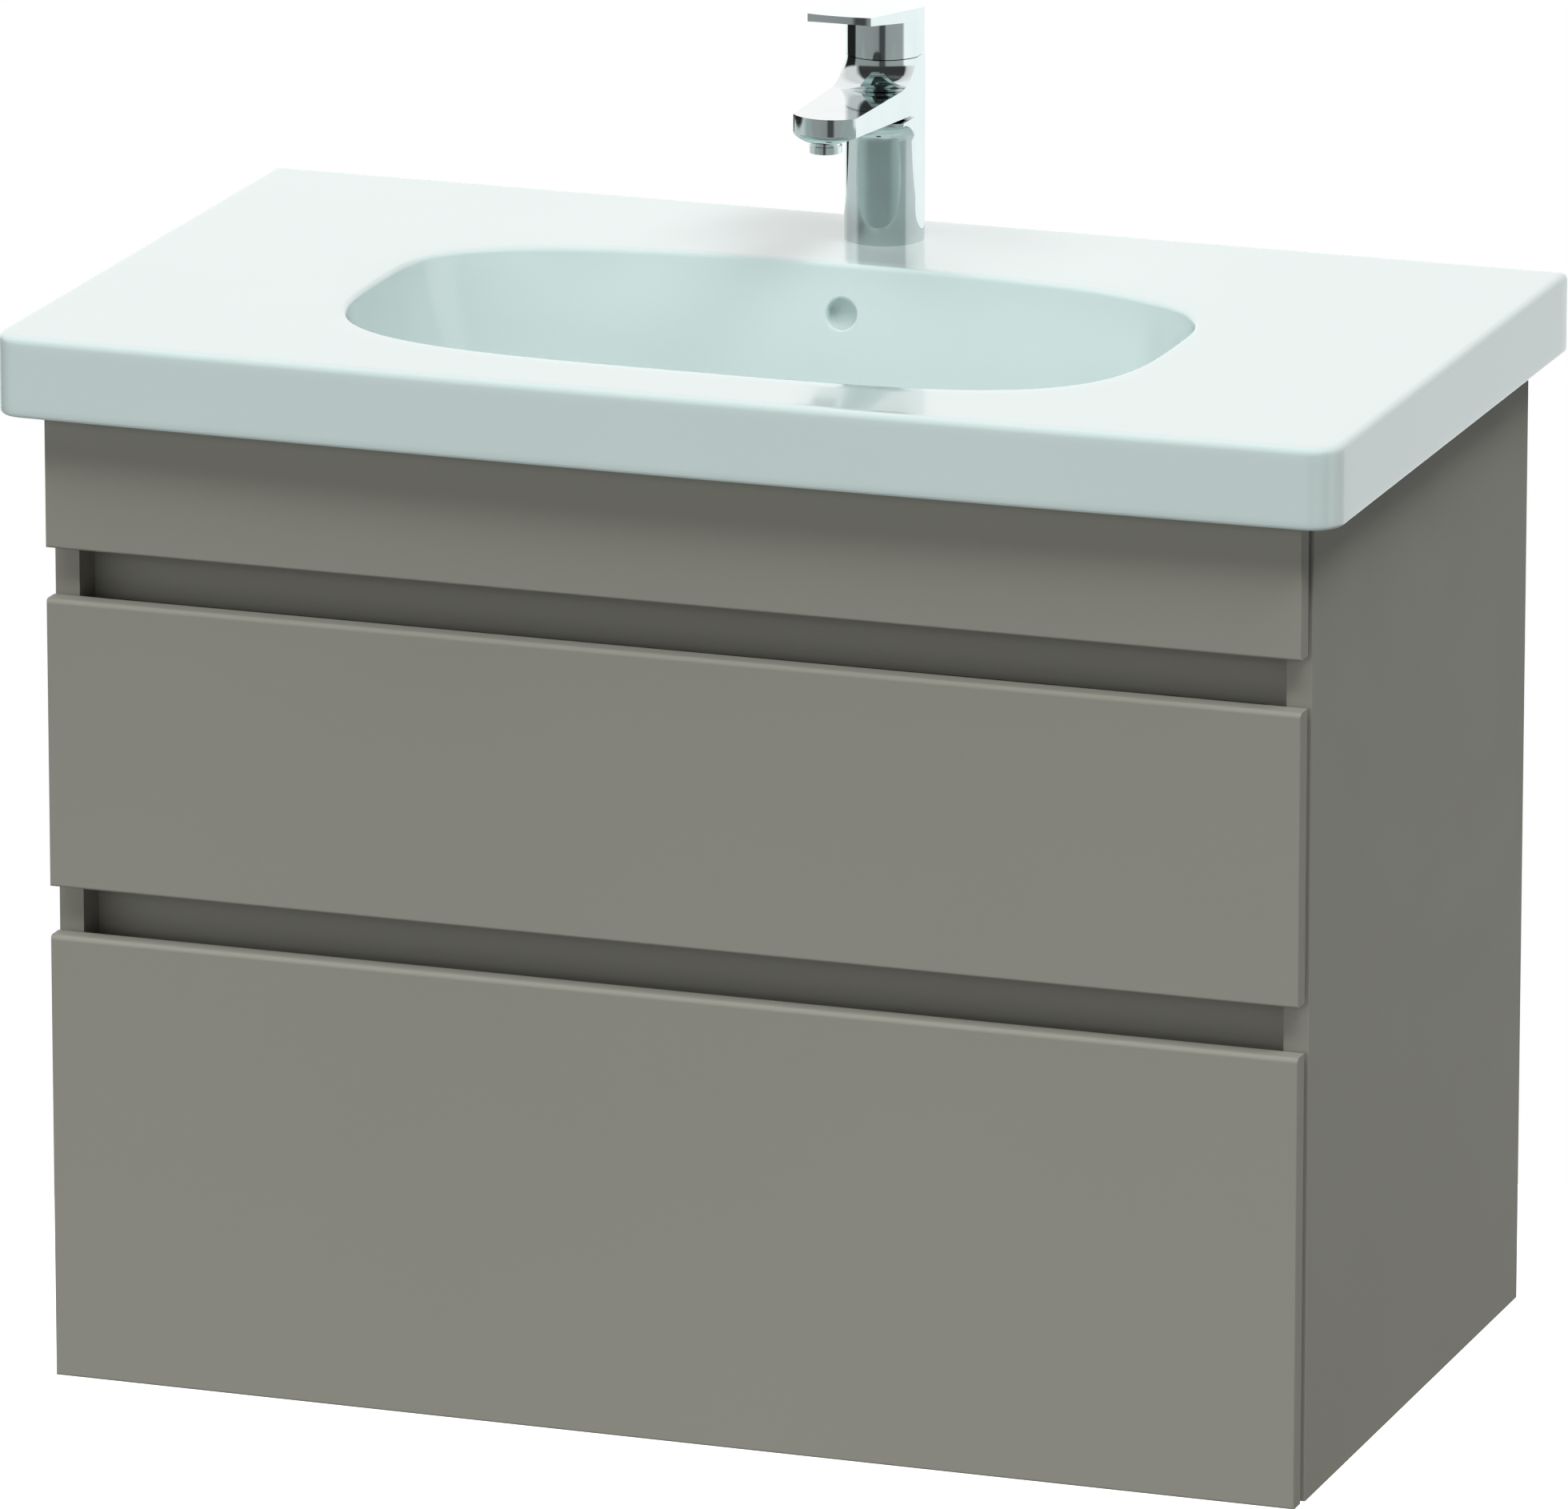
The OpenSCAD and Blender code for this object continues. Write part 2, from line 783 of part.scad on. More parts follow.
module tap_lever() {
  color(chrome_c) translate([0, -tap_y, deck_z]) {
    difference() {
      union() {
        lever_blade();
        lever_skirt();
      }
      translate([0, 0, 110]) cylinder(h = 27.5, r = 21, $fn = 96);
    }
    difference() {
      union() {
        translate([-7.5, 6, 128]) rotate([0, 90, 0]) cylinder(h = 15, r = 3.8, $fn = 64);
        translate([-7.5, 3, 128]) cube([15, 6, 10.5]);
      }
      translate([-8.5, 6, 128]) rotate([0, 90, 0]) cylinder(h = 17, r = 2.05, $fn = 48);
    }
  }
}

module tap_stud() {
  color(steel) rod(0, -tap_y + 10, deck_z - 55, deck_z + 14, 3);
}

// plate under the deck, slotted for the inlets
module tap_clamp_washer() {
  color(steel) translate([0, -tap_y, deck_z - deck_t - 3]) difference() {
    cylinder(h = 3, r = 25, $fn = 96);
    translate([0, 10, -1]) cylinder(h = 5, r = 3.2, $fn = 48);
    translate([-15, -30, -1]) cube([30, 32, 5]);
  }
}

module tap_stud_nut() {
  color(steel) difference() {
    translate([0, -tap_y + 10, deck_z - deck_t - 9]) cylinder(h = 6, r = 5.8, $fn = 6);
    rod(0, -tap_y + 10, deck_z - deck_t - 10, deck_z - deck_t - 2, 3.05);
  }
}

// two inlet stubs below the deck
module tap_inlets() {
  color([0.70, 0.45, 0.25]) for (s = [-1, 1]) difference() {
    union() {
      rod(s * 7.5, -tap_y - 6, deck_z - 70, deck_z + 20, 4.4);
      rod(s * 7.5, -tap_y - 6, deck_z - 30, deck_z - 25, 6);
    }
    rod(s * 7.5, -tap_y - 6, deck_z - 71, deck_z + 21, 3);
  }
}

// ---------- waste and trap ----------

waste_z = deck_z - bowl_deep - 5;

module waste_body() {
  color(chrome_c) translate([0, -waste_y, waste_z]) difference() {
    union() {
      translate([0, 0, -62]) cylinder(h = 63.6, r = 20, $fn = 96);
      translate([0, 0, 1.2]) cylinder(h = 1.5, r = 32.5, $fn = 96);
    }
    translate([0, 0, -22]) cylinder(h = 30, r = 18, $fn = 96);
    translate([0, 0, -63]) cylinder(h = 37, r = 17, $fn = 96);
    translate([0, 0, -27]) cylinder(h = 6, r = 6.1, $fn = 96);
  }
}

module waste_seals() {
  color(dark) translate([0, -waste_y, waste_z]) {
    difference() {
      cylinder(h = 1.2, r = 31, $fn = 96);
      translate([0, 0, -1]) cylinder(h = 4, r = 20.1, $fn = 96);
    }
    translate([0, 0, -32]) difference() {
      cylinder(h = 3, r = 31, $fn = 96);
      translate([0, 0, -1]) cylinder(h = 5, r = 20.1, $fn = 96);
    }
  }
}

module waste_nut() {
  color(chrome_c) translate([0, -waste_y, waste_z - 40]) difference() {
    cylinder(h = 8, r = 30, $fn = 6);
    translate([0, 0, -1]) cylinder(h = 10, r = 20.1, $fn = 96);
  }
}

// domed cover with its guide stem
module waste_plug() {
  color(chrome_c) translate([0, -waste_y, waste_z]) rotate_extrude($fn = 96)
    polygon([[0, -40], [6, -40], [6, -3], [20, 4.2], [31.5, 4.4], [31.5, 6], [28, 7.4],
      [14, 8.8], [0, 9.2]]);
}

trap_z = waste_z - 62;

module trap_tube() {
  color(chrome_c) translate([0, -waste_y, 0]) difference() {
    union() {
      translate([0, 0, trap_z - 108]) cylinder(h = 108, r = 16, $fn = 96);
      translate([0, 0, trap_z - 0.8]) cylinder(h = 8, r = 16.9, $fn = 96);
    }
    translate([0, 0, trap_z - 109]) cylinder(h = 120, r = 14.6, $fn = 96);
  }
}

module trap_cup() {
  z0 = trap_z - 122;
  color(chrome_c) translate([0, -waste_y, 0]) difference() {
    union() {
      translate([0, 0, z0 + 4]) cylinder(h = 72, r = 31, $fn = 96);
      translate([0, 0, z0]) cylinder(h = 4, r1 = 27, r2 = 31, $fn = 96);
      translate([0, 0, z0 + 76]) cylinder(h = 4, r = 20, $fn = 96);
      translate([0, 0, z0 + 58]) rotate([-90, 0, 0]) cylinder(h = 42, r = 18.5, $fn = 96);
    }
    translate([0, 0, z0 + 3]) cylinder(h = 70, r = 29, $fn = 96);
    translate([0, 0, z0 + 60]) cylinder(h = 30, r = 16.1, $fn = 96);
    translate([0, 20, z0 + 58]) rotate([-90, 0, 0]) cylinder(h = 30, r = 16.1, $fn = 96);
  }
}

// slip nuts at the waste tail, the cup top and the outlet
module trap_nuts() {
  z0 = trap_z - 122;
  color(chrome_c) translate([0, -waste_y, 0]) {
    difference() {
      translate([0, 0, trap_z - 7]) cylinder(h = 17, r = 24, $fn = 96);
      translate([0, 0, trap_z - 8]) cylinder(h = 20, r = 16.1, $fn = 96);
      translate([0, 0, trap_z - 0.8]) cylinder(h = 12, r = 20.1, $fn = 96);
    }
    ring_nut([0, 0, z0 + 80], [0, 0, 0], 22, 16.1, 12);
    ring_nut([0, 42, z0 + 58], [-90, 0, 0], 22, 16.1, 12);
  }
}

// one slip nut
module ring_nut(p, a, r, bore, h) {
  translate(p) rotate(a) difference() {
    cylinder(h = h, r = r, $fn = 96);
    translate([0, 0, -1]) cylinder(h = h + 2, r = bore, $fn = 96);
  }
}

module trap_outlet() {
  z = trap_z - 64;
  color(chrome_c) difference() {
    union() {
      rod_y(0, -waste_y + 26, 40, z, 16);
      rod_y(0, -6, 0, z, 35);
    }
    rod_y(0, -waste_y + 25, 41, z, 14.6);
  }
}

// ---------- drawing ----------

side_panel_left();
side_panel_right();
bottom_panel();
back_rail_upper();
back_rail_lower();
grip_rail_upper();
grip_rail_middle();
apron_panel();
apron_brackets();
hanger_left();
hanger_right();
wall_plates();
carcass_dowels();
cam_locks();
upper_runner_fixed_left();
upper_runner_fixed_right();
lower_runner_fixed_left();
lower_runner_fixed_right();
runner_dampers();
upper_runner_middle_left();
upper_runner_middle_right();
lower_runner_middle_left();
lower_runner_middle_right();
upper_front();
upper_side_left();
upper_side_right();
upper_base();
upper_back_boards();
upper_trap_walls();
upper_runner_drawer_left();
upper_runner_drawer_right();
upper_bumpers();
lower_front();
lower_side_left();
lower_side_right();
lower_base();
lower_back();
lower_runner_drawer_left();
lower_runner_drawer_right();
lower_bumpers();
washbasin();
tap_body();
tap_aerator();
tap_cartridge();
tap_cartridge_nut();
tap_rotor();
tap_lever_pin();
tap_lever();
tap_stud();
tap_clamp_washer();
tap_stud_nut();
tap_inlets();
waste_body();
waste_seals();
waste_nut();
waste_plug();
trap_tube();
trap_cup();
trap_nuts();
trap_outlet();
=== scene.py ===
import json
import math

import bmesh
import bpy
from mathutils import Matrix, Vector


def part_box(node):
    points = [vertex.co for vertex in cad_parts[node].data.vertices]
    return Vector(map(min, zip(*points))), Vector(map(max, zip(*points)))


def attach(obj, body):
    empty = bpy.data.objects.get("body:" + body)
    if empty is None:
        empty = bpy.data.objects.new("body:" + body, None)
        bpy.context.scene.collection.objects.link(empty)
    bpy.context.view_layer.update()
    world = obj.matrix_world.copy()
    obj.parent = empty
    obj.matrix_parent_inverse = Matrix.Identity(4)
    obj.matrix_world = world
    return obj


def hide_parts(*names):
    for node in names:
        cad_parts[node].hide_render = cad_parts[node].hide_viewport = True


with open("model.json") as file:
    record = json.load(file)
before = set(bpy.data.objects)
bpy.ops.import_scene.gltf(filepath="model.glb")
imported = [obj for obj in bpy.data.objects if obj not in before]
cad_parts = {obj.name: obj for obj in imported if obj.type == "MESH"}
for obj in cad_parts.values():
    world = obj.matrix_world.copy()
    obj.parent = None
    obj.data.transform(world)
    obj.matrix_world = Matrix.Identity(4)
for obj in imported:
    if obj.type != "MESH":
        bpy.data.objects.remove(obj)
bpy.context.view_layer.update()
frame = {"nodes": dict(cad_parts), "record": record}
NODES = frame["nodes"]
MM = 0.001
TAU = 2 * math.pi


# ---------------------------------------------------------------- camera and floor

CAMERA_AZIMUTH = math.radians(19.514)
CAMERA_ELEVATION = math.radians(15.355)
CAMERA_DISTANCE = 9.4956
CAMERA_AIM = Vector((-0.0054, -0.2246, 0.3721))
CAMERA_LENS, CAMERA_SENSOR = 355.6, 36.0

FLOOR_RADIUS = 2.2
FLOOR_HEIGHT = -0.62
FLOOR_GREYS = (0.38, 0.42)


def make_camera():
    """Long-lens view from the front, a little right of centre and above."""
    flat = math.cos(CAMERA_ELEVATION)
    back = Vector((math.sin(CAMERA_AZIMUTH) * flat, -math.cos(CAMERA_AZIMUTH) * flat,
                   math.sin(CAMERA_ELEVATION)))
    data = bpy.data.cameras.new("camera")
    data.sensor_fit = "HORIZONTAL"
    data.sensor_width = CAMERA_SENSOR
    data.lens = CAMERA_LENS
    data.clip_end = 100.0
    cam = bpy.data.objects.new("camera", data)
    cam.location = CAMERA_AIM + back * CAMERA_DISTANCE
    cam.rotation_euler = back.to_track_quat("Z", "Y").to_euler()
    bpy.context.scene.collection.objects.link(cam)
    bpy.context.scene.camera = cam


def make_floor():
    """Plain pale floor well below the wall-hung unit; the camera sees it as white."""
    bm = bmesh.new()
    bmesh.ops.create_circle(bm, cap_ends=True, radius=FLOOR_RADIUS, segments=128)
    mesh = bpy.data.meshes.new("floor")
    bm.to_mesh(mesh)
    bm.free()
    floor = bpy.data.objects.new("floor", mesh)
    floor.location = (0, 0, FLOOR_HEIGHT)
    bpy.context.scene.collection.objects.link(floor)
    mat, nt, bsdf = new_material("floor")
    dark, pale = [(grey, grey, grey) for grey in FLOOR_GREYS]
    nt.links.new(two_tones(nt, add_noise(nt, scale=3.0, detail=3.0), dark, pale),
                 bsdf.inputs["Base Color"])
    bsdf.inputs["Roughness"].default_value = 0.9
    bsdf.inputs["Emission Color"].default_value = (1, 1, 1, 1)
    path = nt.nodes.new("ShaderNodeLightPath")
    nt.links.new(path.outputs["Is Camera Ray"], bsdf.inputs["Emission Strength"])
    mesh.materials.append(mat)


# ---------------------------------------------------------------- world

# Softboxes, as seen from the object. Each pair of numbers is where a soft edge starts and ends,
# on one axis of the unit vector that points at the softbox.
KEY_RIGHT, KEY_LEFT, FILL_LOW, FILL_LEVEL = 12.4, 4.6, 2.7, 0.6
FRONT_EDGE = (-0.15, 0.15)
RIGHT_EDGE = (0.1, 0.4)
HIGH_RISE, HIGH_FALL = (0.72, 0.80), (0.86, 0.94)
LOW_RISE, LOW_FALL = (0.09, 0.17), (0.31, 0.39)
LEVEL_RISE, LEVEL_FALL = (-0.19, -0.11), (0.09, 0.17)
LIGHT_TINT = (0.965, 1.0, 0.985, 1)

# Brightness of the cards round the room: 0 and 1 are behind the wall, 0.5 is straight in front.
LOW_CARDS = (
    (0.0, 1.2), (0.16, 1.2), (0.175, 0.02), (0.285, 0.02), (0.30, 0.42), (0.44, 0.38),
    (0.50, 0.34), (0.515, 0.08), (0.55, 0.08), (0.565, 0.42), (0.70, 0.45), (0.72, 1.3),
    (1.0, 1.2))
HIGH_CARDS = (
    (0.0, 1.2), (0.14, 1.2), (0.20, 0.9), (0.30, 0.9), (0.34, 0.05), (0.72, 0.05),
    (0.74, 0.8), (0.86, 1.2), (1.0, 1.2))
LOW_TINT, HIGH_TINT = (0.96, 1.0, 0.995), (1.03, 0.99, 0.99)
LOW_TO_HIGH = (0.10, 0.24)


def room_light(nt, x, y, z):
    """What lights matt surfaces: high softboxes in front, and low ones at the front left."""
    front = soft_step(nt, y, FRONT_EDGE, falling=True)
    right = soft_step(nt, x, RIGHT_EDGE)
    left = soft_step(nt, x, RIGHT_EDGE, falling=True)
    high = band(nt, z, HIGH_RISE, HIGH_FALL)
    low = band(nt, z, LOW_RISE, LOW_FALL)
    level = band(nt, z, LEVEL_RISE, LEVEL_FALL)
    sides = calc(nt, "ADD", calc(nt, "MULTIPLY", right, KEY_RIGHT),
                 calc(nt, "MULTIPLY", left, KEY_LEFT))
    key = calc(nt, "MULTIPLY", high, sides)
    fill = calc(nt, "MULTIPLY", calc(nt, "MULTIPLY", low, left), FILL_LOW)
    total = calc(nt, "ADD", calc(nt, "ADD", key, fill), calc(nt, "MULTIPLY", level, FILL_LEVEL))
    return calc(nt, "MULTIPLY", total, front)


def room_reflection(nt, x, y, z):
    """What glossy surfaces mirror: white walls behind, grey cards and dark gaps in front."""
    turn = calc(nt, "ARCTAN2", x, calc(nt, "MULTIPLY", y, -1.0))
    around = calc(nt, "ADD", calc(nt, "DIVIDE", turn, TAU), 0.5)
    low = add_ramp(nt, around, [(at, shade(LOW_TINT, v)) for at, v in LOW_CARDS])
    high = add_ramp(nt, around, [(at, shade(HIGH_TINT, v)) for at, v in HIGH_CARDS])
    mix = nt.nodes.new("ShaderNodeMix")
    mix.data_type = "RGBA"
    nt.links.new(soft_step(nt, z, LOW_TO_HIGH), mix.inputs["Factor"])
    nt.links.new(low, mix.inputs["A"])
    nt.links.new(high, mix.inputs["B"])
    return mix.outputs["Result"]


def make_world():
    """Light from softboxes, reflections of plain cards, and white where the camera looks past."""
    world = bpy.data.worlds.new("studio")
    bpy.context.scene.world = world
    world.use_nodes = True
    nt = world.node_tree
    nt.nodes.clear()
    coord = nt.nodes.new("ShaderNodeTexCoord")
    split = nt.nodes.new("ShaderNodeSeparateXYZ")
    nt.links.new(coord.outputs["Generated"], split.inputs[0])
    axes = [split.outputs[n] for n in "XYZ"]
    tint = nt.nodes.new("ShaderNodeMix")
    tint.data_type = "RGBA"
    tint.blend_type = "MULTIPLY"
    tint.inputs["Factor"].default_value = 1.0
    tint.inputs["B"].default_value = LIGHT_TINT
    nt.links.new(room_light(nt, *axes), tint.inputs["A"])
    light = nt.nodes.new("ShaderNodeBackground")
    nt.links.new(tint.outputs["Result"], light.inputs["Color"])
    mirror = nt.nodes.new("ShaderNodeBackground")
    nt.links.new(room_reflection(nt, *axes), mirror.inputs["Color"])
    seen = nt.nodes.new("ShaderNodeBackground")
    seen.inputs["Color"].default_value = (1, 1, 1, 1)
    path = nt.nodes.new("ShaderNodeLightPath")
    unseen = mix_shaders(nt, path.outputs["Is Glossy Ray"], light, mirror)
    final = mix_shaders(nt, path.outputs["Is Camera Ray"], unseen, seen)
    out = nt.nodes.new("ShaderNodeOutputWorld")
    nt.links.new(final.outputs[0], out.inputs[0])


# ---------------------------------------------------------------- node helpers

def new_material(name):
    mat = bpy.data.materials.new(name)
    mat.use_nodes = True
    nt = mat.node_tree
    bsdf = next(n for n in nt.nodes if n.type == "BSDF_PRINCIPLED")
    return mat, nt, bsdf


def calc(nt, operation, first, second):
    """Math node on two sockets or numbers."""
    node = nt.nodes.new("ShaderNodeMath")
    node.operation = operation
    for value, socket in ((first, node.inputs[0]), (second, node.inputs[1])):
        if isinstance(value, (int, float)):
            socket.default_value = value
        else:
            nt.links.new(value, socket)
    return node.outputs[0]


def map_range(nt, value, low, high):
    node = nt.nodes.new("ShaderNodeMapRange")
    node.inputs["To Min"].default_value = low
    node.inputs["To Max"].default_value = high
    nt.links.new(value, node.inputs["Value"])
    return node


def add_range(nt, value, low, high):
    """A value from 0 to 1 spread between low and high."""
    return map_range(nt, value, low, high).outputs[0]


def soft_step(nt, value, edge, falling=False):
    """Smooth step from 0 to 1 over the edge, or from 1 to 0 where it is falling."""
    node = map_range(nt, value, *((1.0, 0.0) if falling else (0.0, 1.0)))
    node.interpolation_type = "SMOOTHSTEP"
    node.inputs["From Min"].default_value, node.inputs["From Max"].default_value = edge
    return node.outputs[0]


def band(nt, value, rise, fall):
    return calc(nt, "MULTIPLY", soft_step(nt, value, rise), soft_step(nt, value, fall, True))


def mix_shaders(nt, factor, first, second):
    node = nt.nodes.new("ShaderNodeMixShader")
    nt.links.new(factor, node.inputs[0])
    nt.links.new(first.outputs[0], node.inputs[1])
    nt.links.new(second.outputs[0], node.inputs[2])
    return node


def add_coords(nt, scale=(1, 1, 1)):
    coord = nt.nodes.new("ShaderNodeTexCoord")
    mapping = nt.nodes.new("ShaderNodeMapping")
    mapping.inputs["Scale"].default_value = scale
    nt.links.new(coord.outputs["Object"], mapping.inputs["Vector"])
    return mapping.outputs[0]


def add_noise(nt, scale, detail, stretch=(1, 1, 1)):
    noise = nt.nodes.new("ShaderNodeTexNoise")
    noise.inputs["Scale"].default_value = scale
    noise.inputs["Detail"].default_value = detail
    nt.links.new(add_coords(nt, stretch), noise.inputs["Vector"])
    return noise.outputs["Fac"]


def add_ramp(nt, fac, stops):
    """Colour ramp from (position, colour) stops."""
    node = nt.nodes.new("ShaderNodeValToRGB")
    elements = node.color_ramp.elements
    while len(elements) < len(stops):
        elements.new(0.5)
    for element, (position, colour) in zip(elements, stops):
        element.position = position
        element.color = (*colour, 1.0)
    nt.links.new(fac, node.inputs[0])
    return node.outputs[0]


def two_tones(nt, fac, first, second, edges=(0.3, 0.7)):
    """Colour that drifts between two tones, flat outside the edges."""
    return add_ramp(nt, fac, list(zip(edges, (first, second))))


def add_bump(nt, bsdf, height, strength, distance):
    node = nt.nodes.new("ShaderNodeBump")
    node.inputs["Strength"].default_value = strength
    node.inputs["Distance"].default_value = distance
    nt.links.new(height, node.inputs["Height"])
    nt.links.new(node.outputs[0], bsdf.inputs["Normal"])


def shade(colour, k):
    return tuple(c * k for c in colour)


# ---------------------------------------------------------------- materials

LACQUER = (0.317, 0.303, 0.268)
BOARD = (0.235, 0.230, 0.212)
CERAMIC = (0.664, 0.770, 0.762), (0.676, 0.782, 0.774)
CHROME = (0.62, 0.685, 0.685), (0.66, 0.72, 0.72)
ZINC = (0.50, 0.51, 0.53), (0.62, 0.63, 0.65)
BEECH = (0.42, 0.27, 0.14), (0.62, 0.45, 0.26)
BRASS = (0.75, 0.58, 0.28)
COPPER = (0.72, 0.42, 0.28)
CLEAR_RUBBER = (0.75, 0.76, 0.75)
DARK_PLASTIC = (0.05, 0.05, 0.055)
BLACK_RUBBER = (0.02, 0.02, 0.02)


def lacquer_material():
    """Matt stone-grey lacquer: faint tone drift and a fine orange-peel skin."""
    mat, nt, bsdf = new_material("lacquer")
    drift = add_noise(nt, scale=2.2, detail=3.0)
    nt.links.new(two_tones(nt, drift, shade(LACQUER, 0.985), shade(LACQUER, 1.015)),
                 bsdf.inputs["Base Color"])
    nt.links.new(add_range(nt, add_noise(nt, scale=18.0, detail=4.0), 0.50, 0.60),
                 bsdf.inputs["Roughness"])
    bsdf.inputs["Specular IOR Level"].default_value = 0.08
    add_bump(nt, bsdf, add_noise(nt, scale=900.0, detail=3.0), strength=0.10, distance=0.2 * MM)
    return mat


def board_material():
    """Melamine-faced drawer board with a faint linen emboss."""
    mat, nt, bsdf = new_material("drawer_board")
    weave = calc(nt, "MULTIPLY", add_noise(nt, 700.0, 2.0, stretch=(1, 1, 0.12)),
                 add_noise(nt, 700.0, 2.0, stretch=(0.12, 0.12, 1)))
    nt.links.new(two_tones(nt, weave, shade(BOARD, 0.92), shade(BOARD, 1.06), (0.15, 0.4)),
                 bsdf.inputs["Base Color"])
    bsdf.inputs["Roughness"].default_value = 0.55
    add_bump(nt, bsdf, weave, strength=0.25, distance=0.3 * MM)
    return mat


def ceramic_material():
    """Glazed sanitary ceramic: clear glaze over white body, with a barely wavy skin."""
    mat, nt, bsdf = new_material("glazed_ceramic")
    nt.links.new(two_tones(nt, add_noise(nt, scale=9.0, detail=3.0), *CERAMIC),
                 bsdf.inputs["Base Color"])
    nt.links.new(add_range(nt, add_noise(nt, scale=30.0, detail=3.0), 0.10, 0.15),
                 bsdf.inputs["Roughness"])
    bsdf.inputs["Coat Weight"].default_value = 0.5
    bsdf.inputs["Coat Roughness"].default_value = 0.05
    add_bump(nt, bsdf, add_noise(nt, scale=14.0, detail=2.0), strength=0.05, distance=1 * MM)
    return mat


def chrome_material():
    """Polished chrome plate with faint wipe marks in its roughness."""
    mat, nt, bsdf = new_material("chrome")
    nt.links.new(two_tones(nt, add_noise(nt, scale=40.0, detail=3.0), *CHROME),
                 bsdf.inputs["Base Color"])
    bsdf.inputs["Metallic"].default_value = 1.0
    wipes = add_noise(nt, scale=60.0, detail=5.0, stretch=(1, 1, 0.3))
    nt.links.new(add_range(nt, wipes, 0.03, 0.08), bsdf.inputs["Roughness"])
    return mat


def turned_material(name, colour, rough):
    """Turned or drawn metal with fine lines along its height."""
    mat, nt, bsdf = new_material(name)
    lines = add_noise(nt, scale=260.0, detail=5.0, stretch=(1, 1, 0.05))
    nt.links.new(two_tones(nt, lines, shade(colour, 0.86), shade(colour, 1.10), (0.25, 0.75)),
                 bsdf.inputs["Base Color"])
    bsdf.inputs["Metallic"].default_value = 1.0
    nt.links.new(add_range(nt, lines, rough * 0.8, rough * 1.3), bsdf.inputs["Roughness"])
    add_bump(nt, bsdf, lines, strength=0.12, distance=0.2 * MM)
    return mat


def galvanised_material():
    """Zinc-plated runner steel with a soft spangle."""
    mat, nt, bsdf = new_material("steel")
    cells = nt.nodes.new("ShaderNodeTexVoronoi")
    cells.inputs["Scale"].default_value = 180.0
    nt.links.new(add_coords(nt), cells.inputs["Vector"])
    nt.links.new(two_tones(nt, cells.outputs["Distance"], *ZINC, (0.0, 0.8)),
                 bsdf.inputs["Base Color"])
    bsdf.inputs["Metallic"].default_value = 1.0
    nt.links.new(add_range(nt, add_noise(nt, scale=80.0, detail=4.0), 0.28, 0.42),
                 bsdf.inputs["Roughness"])
    return mat


def wood_material():
    """Beech dowel with long grain along its axis."""
    mat, nt, bsdf = new_material("beech")
    grain = add_noise(nt, scale=400.0, detail=6.0, stretch=(0.08, 1, 1))
    nt.links.new(two_tones(nt, grain, *BEECH), bsdf.inputs["Base Color"])
    bsdf.inputs["Roughness"].default_value = 0.65
    add_bump(nt, bsdf, grain, strength=0.2, distance=0.3 * MM)
    return mat


def polymer_material(name, colour, rough, scale=500.0, transmission=0.0):
    """Moulded plastic or rubber with a fine spark-eroded texture."""
    mat, nt, bsdf = new_material(name)
    grain = add_noise(nt, scale, detail=3.0)
    nt.links.new(two_tones(nt, grain, shade(colour, 0.9), shade(colour, 1.1)),
                 bsdf.inputs["Base Color"])
    nt.links.new(add_range(nt, grain, rough * 0.9, rough * 1.1), bsdf.inputs["Roughness"])
    bsdf.inputs["Transmission Weight"].default_value = transmission
    add_bump(nt, bsdf, grain, strength=0.15, distance=0.2 * MM)
    return mat


def make_materials():
    """One material for each material slot of the record."""
    return {
        "lacquer": lacquer_material(),
        "drawer_board": board_material(),
        "beech": wood_material(),
        "clear_rubber": polymer_material("clear_rubber", CLEAR_RUBBER, rough=0.35, scale=300.0,
                                         transmission=0.5),
        "dark_plastic": polymer_material("dark_plastic", DARK_PLASTIC, rough=0.45),
        "glazed_ceramic": ceramic_material(),
        "black_rubber": polymer_material("black_rubber", BLACK_RUBBER, rough=0.7),
        "brass": turned_material("brass", BRASS, rough=0.28),
        "copper": turned_material("copper", COPPER, rough=0.25),
        "chrome": chrome_material(),
        "steel": galvanised_material(),
    }


# ---------------------------------------------------------------- mesh helpers

def smooth(mesh, sharp_angle):
    mesh.shade_smooth()
    mesh.set_sharp_from_angle(angle=math.radians(sharp_angle))


def mesh_object(name, bm, sharp_angle=35.0):
    bmesh.ops.recalc_face_normals(bm, faces=bm.faces)
    mesh = bpy.data.meshes.new(name)
    bm.to_mesh(mesh)
    bm.free()
    obj = bpy.data.objects.new(name, mesh)
    bpy.context.scene.collection.objects.link(obj)
    smooth(mesh, sharp_angle)
    return obj


def loft(rings, close_ends=False, close_loop=False):
    """Quads between rings of equal point counts."""
    bm = bmesh.new()
    rows = [[bm.verts.new(p) for p in ring] for ring in rings]
    pairs = list(zip(rows, rows[1:]))
    if close_loop:
        pairs.append((rows[-1], rows[0]))
    for a, b in pairs:
        n = len(a)
        for i in range(n):
            bm.faces.new((a[i], a[(i + 1) % n], b[(i + 1) % n], b[i]))
    if close_ends:
        bm.faces.new(list(reversed(rows[0])))
        bm.faces.new(rows[-1])
    return bm


def lathe(profile, centre, axis=(0, 0, 1), segments=96):
    """Closed solid of revolution from (radius, height) pairs."""
    turn = Vector((0, 0, 1)).rotation_difference(Vector(axis)).to_matrix()
    rings = []
    for r, h in profile:
        rings.append([Vector(centre) + turn @ Vector((r * math.cos(TAU * i / segments),
                                                      r * math.sin(TAU * i / segments), h))
                      for i in range(segments)])
    return loft(rings, close_ends=True)


